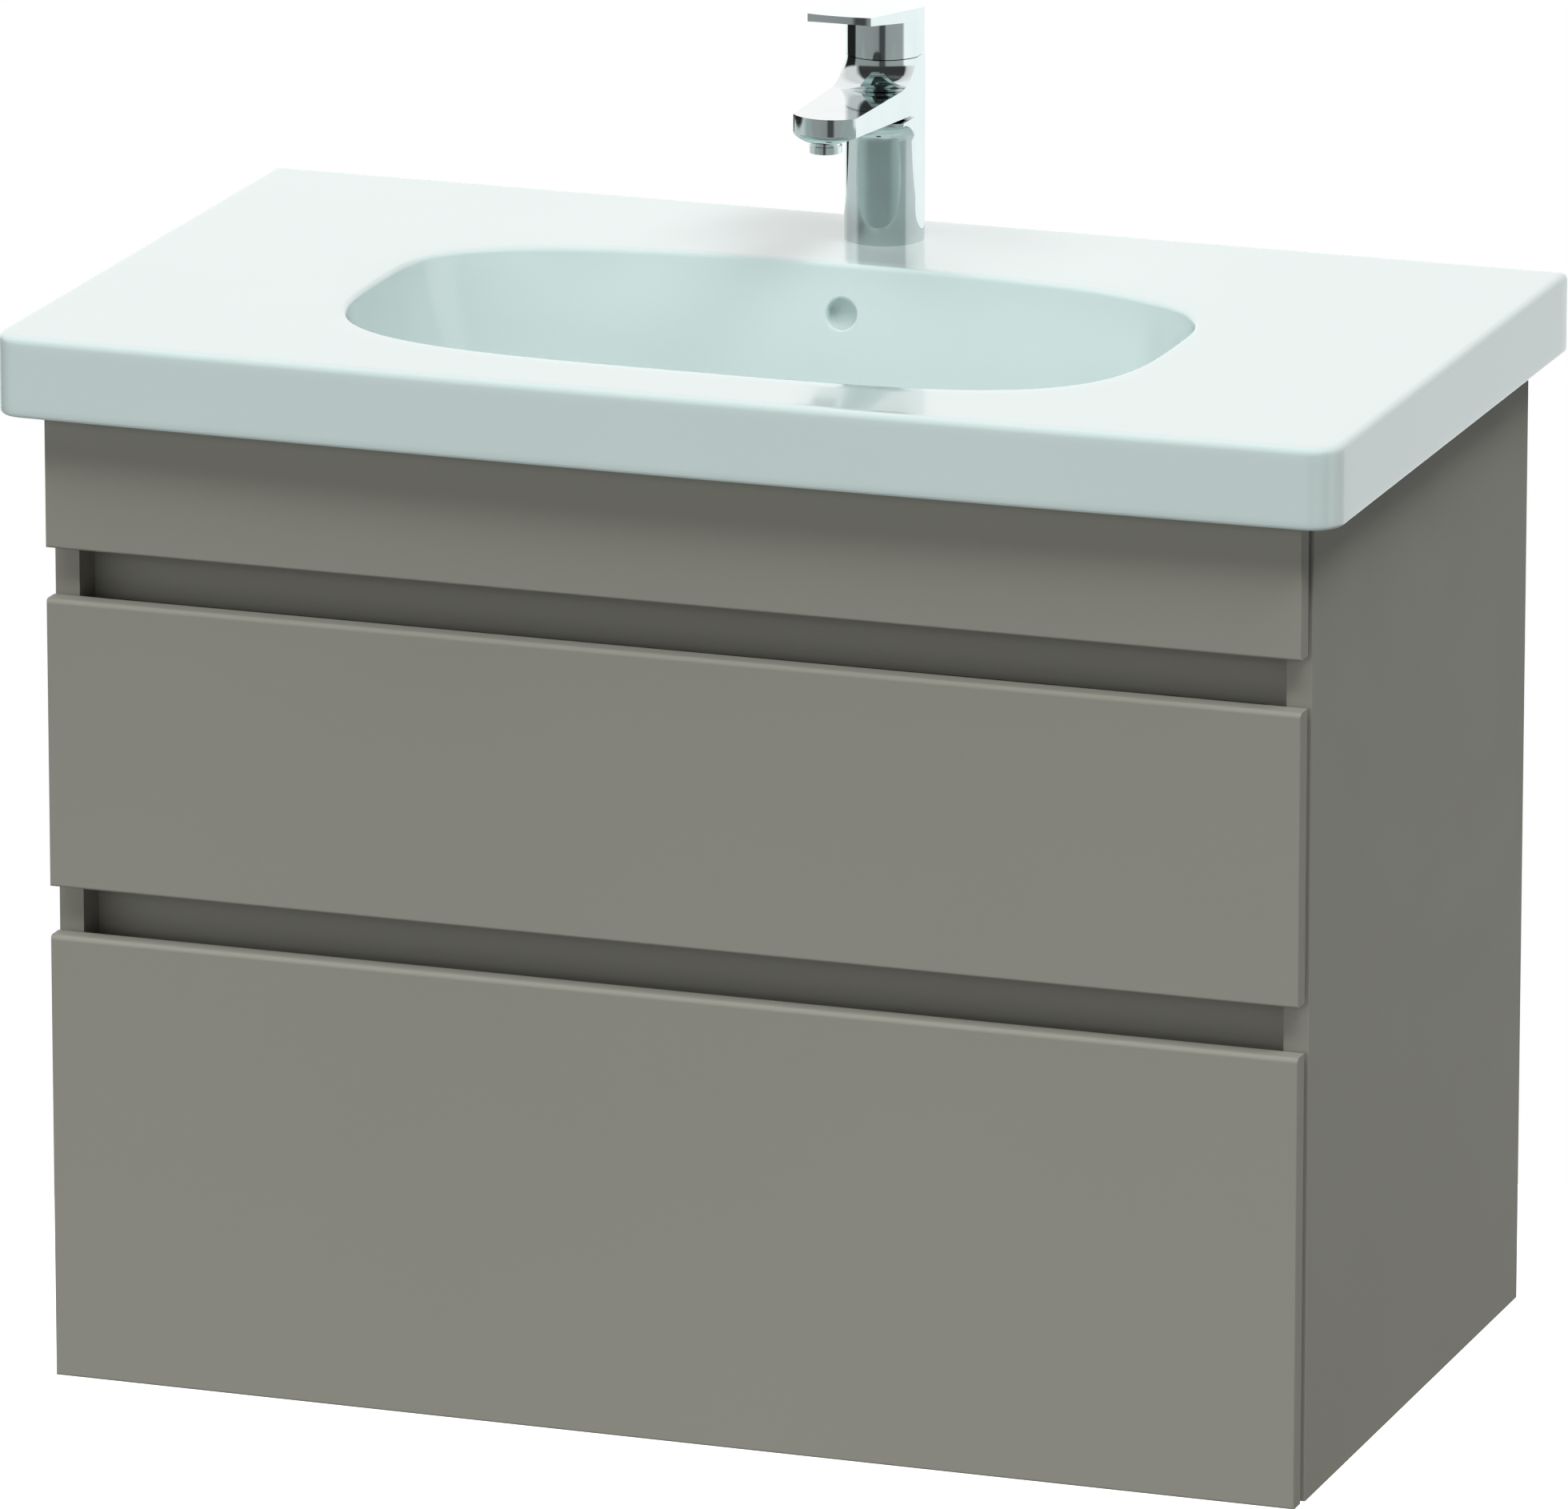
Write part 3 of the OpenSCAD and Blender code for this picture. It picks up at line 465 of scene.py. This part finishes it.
def cut(obj, cutter, sharp_angle=35.0):
    """Boolean difference, applied; the cutter is removed."""
    mod = obj.modifiers.new("cut", "BOOLEAN")
    mod.operation = "DIFFERENCE"
    mod.solver = "EXACT"
    mod.object = cutter
    deps = bpy.context.evaluated_depsgraph_get()
    mesh = bpy.data.meshes.new_from_object(obj.evaluated_get(deps))
    obj.modifiers.clear()
    obj.data = mesh
    smooth(mesh, sharp_angle)
    bpy.data.objects.remove(cutter)


# ---------------------------------------------------------------- washbasin

BASIN_LO, BASIN_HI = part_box("washbasin")
WASTE_LO, WASTE_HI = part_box("waste_body")
RIM_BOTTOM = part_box("side_panel_left")[1].z
RIM_TOP = BASIN_HI.z
BASIN_W = BASIN_HI.x - BASIN_LO.x
WASTE_Y = (WASTE_LO.y + WASTE_HI.y) / 2

# rim, in plan and in section
FRONT_BOW = 5 * MM
FRONT_CORNER, FRONT_CORNER_LEAST, FRONT_CORNER_STEPS = 20 * MM, 1.0 * MM, 14
REAR_CORNER, REAR_CORNER_LEAST, REAR_CORNER_STEPS = 4.0 * MM, 0.4 * MM, 6
LONG_STEPS, SIDE_STEPS = 56, 40
TOP_EDGE, BOTTOM_EDGE = 4.5 * MM, 2.5 * MM
UNDERSIDE_INSET, DECK_INSET = 6 * MM, 9 * MM
SIDE_LOW, SIDE_HIGH = 6 * MM, 8 * MM

# hollow underneath, which is the rim's outline scaled down and then squared off
HALF_WIDTH, DEPTH = 425 * MM, 480 * MM
HOLLOW_HALF, HOLLOW_FRONT, HOLLOW_BACK = 368 * MM, -418 * MM, -22 * MM
DECK_THICKNESS = 14 * MM

# bowl
BOWL_CENTRE = -244.3 * MM
BACK_POWER, FRONT_POWER = 2.87, 3.65
LIP, LIP_DEPTH, LIP_BLEND = 3.5 * MM, 5.0, 14 * MM
BOWL_LEVELS = (  # depth, half width, front half depth, back half depth, in millimetres
    (5.0, 254.5, 171.2, 114.6), (30.0, 247.5, 161.0, 109.8), (75.0, 232.0, 143.0, 97.0),
    (105.0, 212.0, 126.0, 82.0), (122.0, 190.0, 106.0, 64.0), (130.0, 160.0, 80.0, 46.0))
BOWL_END = BOWL_LEVELS[-1][0]
WALL_DEPTHS = (12, 18, 24, 30, 36, 42, 50, 60, 70, 80, 90, 100, 108, 114, 119, 123, 126.5, 129)
FLOOR_BLENDS = ((0.2, 130.6), (0.5, 131.8), (0.8, 132.6))

# seat and boss of the waste, and the outside of the bowl
SEAT_RADIUS, SEAT_EDGE_RADIUS, BORE_RADIUS = 33 * MM, 35 * MM, 23 * MM
SEAT_EDGE_DEPTH, SEAT_WALL_DEPTH, SEAT_DEPTH = 133.0, 134.2, 138.0
BOSS_RADIUS, BOSS_HEIGHT = 36 * MM, 14 * MM
BOSS_BLENDS = ((0.7, 142), (0.35, 140))
OUTSIDE_DEPTHS = (126, 115, 100, 80, 60, 40, 26)
WALL_THICKNESS, WALL_DROP, TOP_WALL_THICKNESS = 10 * MM, 6, 12 * MM

# holes
OVERFLOW_DEPTH, OVERFLOW_RADIUS, OVERFLOW_TILT = 30.5, 9.8 * MM, math.radians(13)
OVERFLOW_PROFILE = (  # share of the radius, height over the wall in millimetres
    (0.4, -10.5), (0.8, -10), (1.0, -8.5), (1.0, -1.2), (1.02, -0.6), (1.06, -0.2),
    (1.13, 0.0), (1.13, 8))
TAP_HOLE_RADIUS, TAP_HOLE_REACH, TAP_Y = 17.5 * MM, 30 * MM, -54 * MM


def arc_points(cx, cy, r, a0, a1, n):
    return [(cx + r * math.cos(math.radians(a0 + (a1 - a0) * i / n)),
             cy + r * math.sin(math.radians(a0 + (a1 - a0) * i / n))) for i in range(n + 1)]


def rim_outline(inset):
    """Outline of the rim shrunk by inset: bowed front, round front corners, tight rear ones."""
    w = BASIN_W / 2 - inset
    back = BASIN_HI.y - inset
    front = BASIN_LO.y + FRONT_BOW + inset
    r = max(FRONT_CORNER - inset, FRONT_CORNER_LEAST)
    rb = max(REAR_CORNER - inset, REAR_CORNER_LEAST)
    n, m = LONG_STEPS, SIDE_STEPS
    pts = arc_points(w - rb, back - rb, rb, 0, 90, REAR_CORNER_STEPS)
    pts += [((w - rb) - 2 * (w - rb) * i / n, back) for i in range(1, n)]
    pts += arc_points(-w + rb, back - rb, rb, 90, 180, REAR_CORNER_STEPS)
    pts += [(-w, (back - rb) + (front + r - back + rb) * i / m) for i in range(1, m)]
    pts += arc_points(-w + r, front + r, r, 180, 270, FRONT_CORNER_STEPS)
    span = w - r
    for i in range(1, n):
        x = -span + 2 * span * i / n
        pts.append((x, front - FRONT_BOW * (1 - (x / span) ** 2)))
    pts += arc_points(w - r, front + r, r, 270, 360, FRONT_CORNER_STEPS)
    pts += [(w, (front + r) + (back - rb - front - r) * i / m) for i in range(1, m)]
    return pts


def hollow_outline(outer):
    """Outline of the hollow under the deck."""
    pts = []
    for x, y in outer:
        x = x * HOLLOW_HALF / HALF_WIDTH
        y = HOLLOW_BACK + (y - BASIN_HI.y) * (HOLLOW_BACK - HOLLOW_FRONT) / DEPTH
        pts.append((max(-HOLLOW_HALF, min(HOLLOW_HALF, x)),
                    max(HOLLOW_FRONT, min(HOLLOW_BACK, y))))
    return pts


def bowl_size(depth):
    """Half width, front and back half depths at a depth, by a smooth curve through the levels."""
    rows = BOWL_LEVELS
    depth = min(max(depth, rows[0][0]), rows[-1][0])
    for i in range(len(rows) - 1):
        if depth <= rows[i + 1][0]:
            break
    p0, p1, p2, p3 = (rows[max(i - 1, 0)], rows[i], rows[i + 1], rows[min(i + 2, len(rows) - 1)])
    k = (depth - p1[0]) / (p2[0] - p1[0])
    out = []
    for j in (1, 2, 3):
        m1 = (p2[j] - p0[j]) / (p2[0] - p0[0]) * (p2[0] - p1[0])
        m2 = (p3[j] - p1[j]) / (p3[0] - p1[0]) * (p2[0] - p1[0])
        out.append((2 * k ** 3 - 3 * k ** 2 + 1) * p1[j] + (k ** 3 - 2 * k ** 2 + k) * m1
                   + (-2 * k ** 3 + 3 * k ** 2) * p2[j] + (k ** 3 - k ** 2) * m2)
    return [v * MM for v in out]


def bowl_ring(angles, depth, grow=0.0):
    """Bowl plan at a depth: squarer towards the front than towards the wall."""
    a, front, back = [v + grow for v in bowl_size(depth)]
    pts = []
    for t in angles:
        co, si = math.cos(t), math.sin(t)
        b, n = (back, BACK_POWER) if si > 0 else (front, FRONT_POWER)
        rho = 1 / ((abs(co) / a) ** n + (abs(si) / b) ** n) ** (1 / n)
        pts.append((rho * co, BOWL_CENTRE + rho * si))
    return pts


def circle_ring(angles, r):
    return [(r * math.cos(t), WASTE_Y + r * math.sin(t)) for t in angles]


def blend_points(p, q, k):
    return [(a[0] * (1 - k) + b[0] * k, a[1] * (1 - k) + b[1] * k) for a, b in zip(p, q)]


def ring_at(points, z):
    return [Vector((x, y, z)) for x, y in points]


def ring_down(points, depth):
    """Ring at a depth in millimetres below the deck."""
    return ring_at(points, RIM_TOP - depth * MM)


def quarter(radius, degrees):
    """How far a rounded edge is from its two faces, at an angle along it."""
    a = math.radians(degrees)
    return radius * (1 - math.sin(a)), radius * (1 - math.cos(a))


def rim_rings(outer):
    """Hollow under the deck, flat underside, outer side and rounded top edge."""
    hollow = hollow_outline(outer)
    rings = [ring_at(hollow, RIM_TOP - DECK_THICKNESS), ring_at(hollow, RIM_BOTTOM),
             ring_at(rim_outline(UNDERSIDE_INSET), RIM_BOTTOM)]
    for degrees in range(0, 91, 30):
        inset, rise = quarter(BOTTOM_EDGE, degrees)
        rings.append(ring_at(rim_outline(inset), RIM_BOTTOM + rise))
    rings.append(ring_at(outer, RIM_BOTTOM + SIDE_LOW))
    rings.append(ring_at(outer, RIM_TOP - SIDE_HIGH))
    for degrees in range(0, 91, 15):
        drop, inset = quarter(TOP_EDGE, degrees)
        rings.append(ring_at(rim_outline(inset), RIM_TOP - drop))
    rings.append(ring_at(rim_outline(DECK_INSET), RIM_TOP))
    return rings


def bowl_rings(angles):
    """Deck, soft lip, bowl wall, bowl floor and the recessed seat of the waste."""
    rings = [ring_at(bowl_ring(angles, LIP_DEPTH, LIP_BLEND), RIM_TOP)]
    for degrees in range(0, 91, 15):
        grow, drop = quarter(LIP, degrees)
        rings.append(ring_at(bowl_ring(angles, LIP_DEPTH, grow), RIM_TOP - drop))
    rings += [ring_down(bowl_ring(angles, depth), depth) for depth in WALL_DEPTHS]
    low, seat = bowl_ring(angles, BOWL_END), circle_ring(angles, SEAT_RADIUS)
    rings += [ring_down(blend_points(low, seat, k), depth) for k, depth in FLOOR_BLENDS]
    rings.append(ring_down(circle_ring(angles, SEAT_EDGE_RADIUS), SEAT_EDGE_DEPTH))
    rings.append(ring_down(seat, SEAT_WALL_DEPTH))
    rings.append(ring_down(seat, SEAT_DEPTH))
    rings.append(ring_down(circle_ring(angles, BORE_RADIUS), SEAT_DEPTH))
    return rings


def outside_rings(angles):
    """Waste boss and the outside of the bowl, up to the underside of the deck."""
    boss = circle_ring(angles, BOSS_RADIUS)
    rings = [ring_at(circle_ring(angles, BORE_RADIUS), BASIN_LO.z), ring_at(boss, BASIN_LO.z),
             ring_at(boss, BASIN_LO.z + BOSS_HEIGHT)]
    low = bowl_ring(angles, BOWL_END)
    rings += [ring_down(blend_points(low, boss, k), depth) for k, depth in BOSS_BLENDS]
    rings += [ring_down(bowl_ring(angles, depth - WALL_DROP, WALL_THICKNESS), depth)
              for depth in OUTSIDE_DEPTHS]
    rings.append(ring_at(bowl_ring(angles, LIP_DEPTH, TOP_WALL_THICKNESS),
                         RIM_TOP - DECK_THICKNESS))
    return rings


def overflow_cutter():
    normal = Vector((0, -math.cos(OVERFLOW_TILT), math.sin(OVERFLOW_TILT)))
    back = bowl_size(OVERFLOW_DEPTH)[2]
    wall = Vector((0, BOWL_CENTRE + back, RIM_TOP - OVERFLOW_DEPTH * MM))
    profile = [(k * OVERFLOW_RADIUS, h * MM) for k, h in OVERFLOW_PROFILE]
    return mesh_object("overflow_cutter", lathe(profile, wall, normal))


def tap_hole_cutter():
    profile = [(TAP_HOLE_RADIUS, -TAP_HOLE_REACH), (TAP_HOLE_RADIUS, TAP_HOLE_REACH)]
    return mesh_object("tap_hole_cutter", lathe(profile, (0, TAP_Y, RIM_TOP)))


def make_washbasin():
    """The ceramic casting, one closed loft of rings with the overflow and tap hole cut in it."""
    outer = rim_outline(0.0)
    angles = [math.atan2(y - BOWL_CENTRE, x) for x, y in outer]
    rings = rim_rings(outer) + bowl_rings(angles) + outside_rings(angles)
    basin = mesh_object("basin", loft(rings, close_loop=True))
    cut(basin, overflow_cutter())
    cut(basin, tap_hole_cutter())
    basin.data.materials.append(MATERIALS["glazed_ceramic"])
    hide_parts("washbasin")
    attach(basin, "cabinet")


# ---------------------------------------------------------------- carried-over CAD nodes

EASED_EDGES = {"lacquer": 0.5, "drawer_board": 0.6, "steel": 0.25, "chrome": 0.5}
KEPT_SHARP = ("tap_rotor", "waste_body")


def dress_nodes():
    """Every CAD node that is shown gets its slot's material; sharp board edges are eased."""
    for entry in frame["record"]["subparts"]:
        node, slot = entry["node"], entry["material_slot"]
        obj = NODES[node]
        obj.data.materials.clear()
        obj.data.materials.append(MATERIALS[slot])
        if slot in EASED_EDGES and not node.startswith(KEPT_SHARP):
            mod = obj.modifiers.new("eased_edges", "BEVEL")
            mod.width = EASED_EDGES[slot] * MM
            mod.segments = 2
            mod.limit_method = "ANGLE"
            mod.angle_limit = math.radians(40)


# ---------------------------------------------------------------- build

MATERIALS = make_materials()
make_camera()
make_world()
make_floor()
dress_nodes()
make_washbasin()
bpy.context.scene.view_settings.view_transform = "Standard"
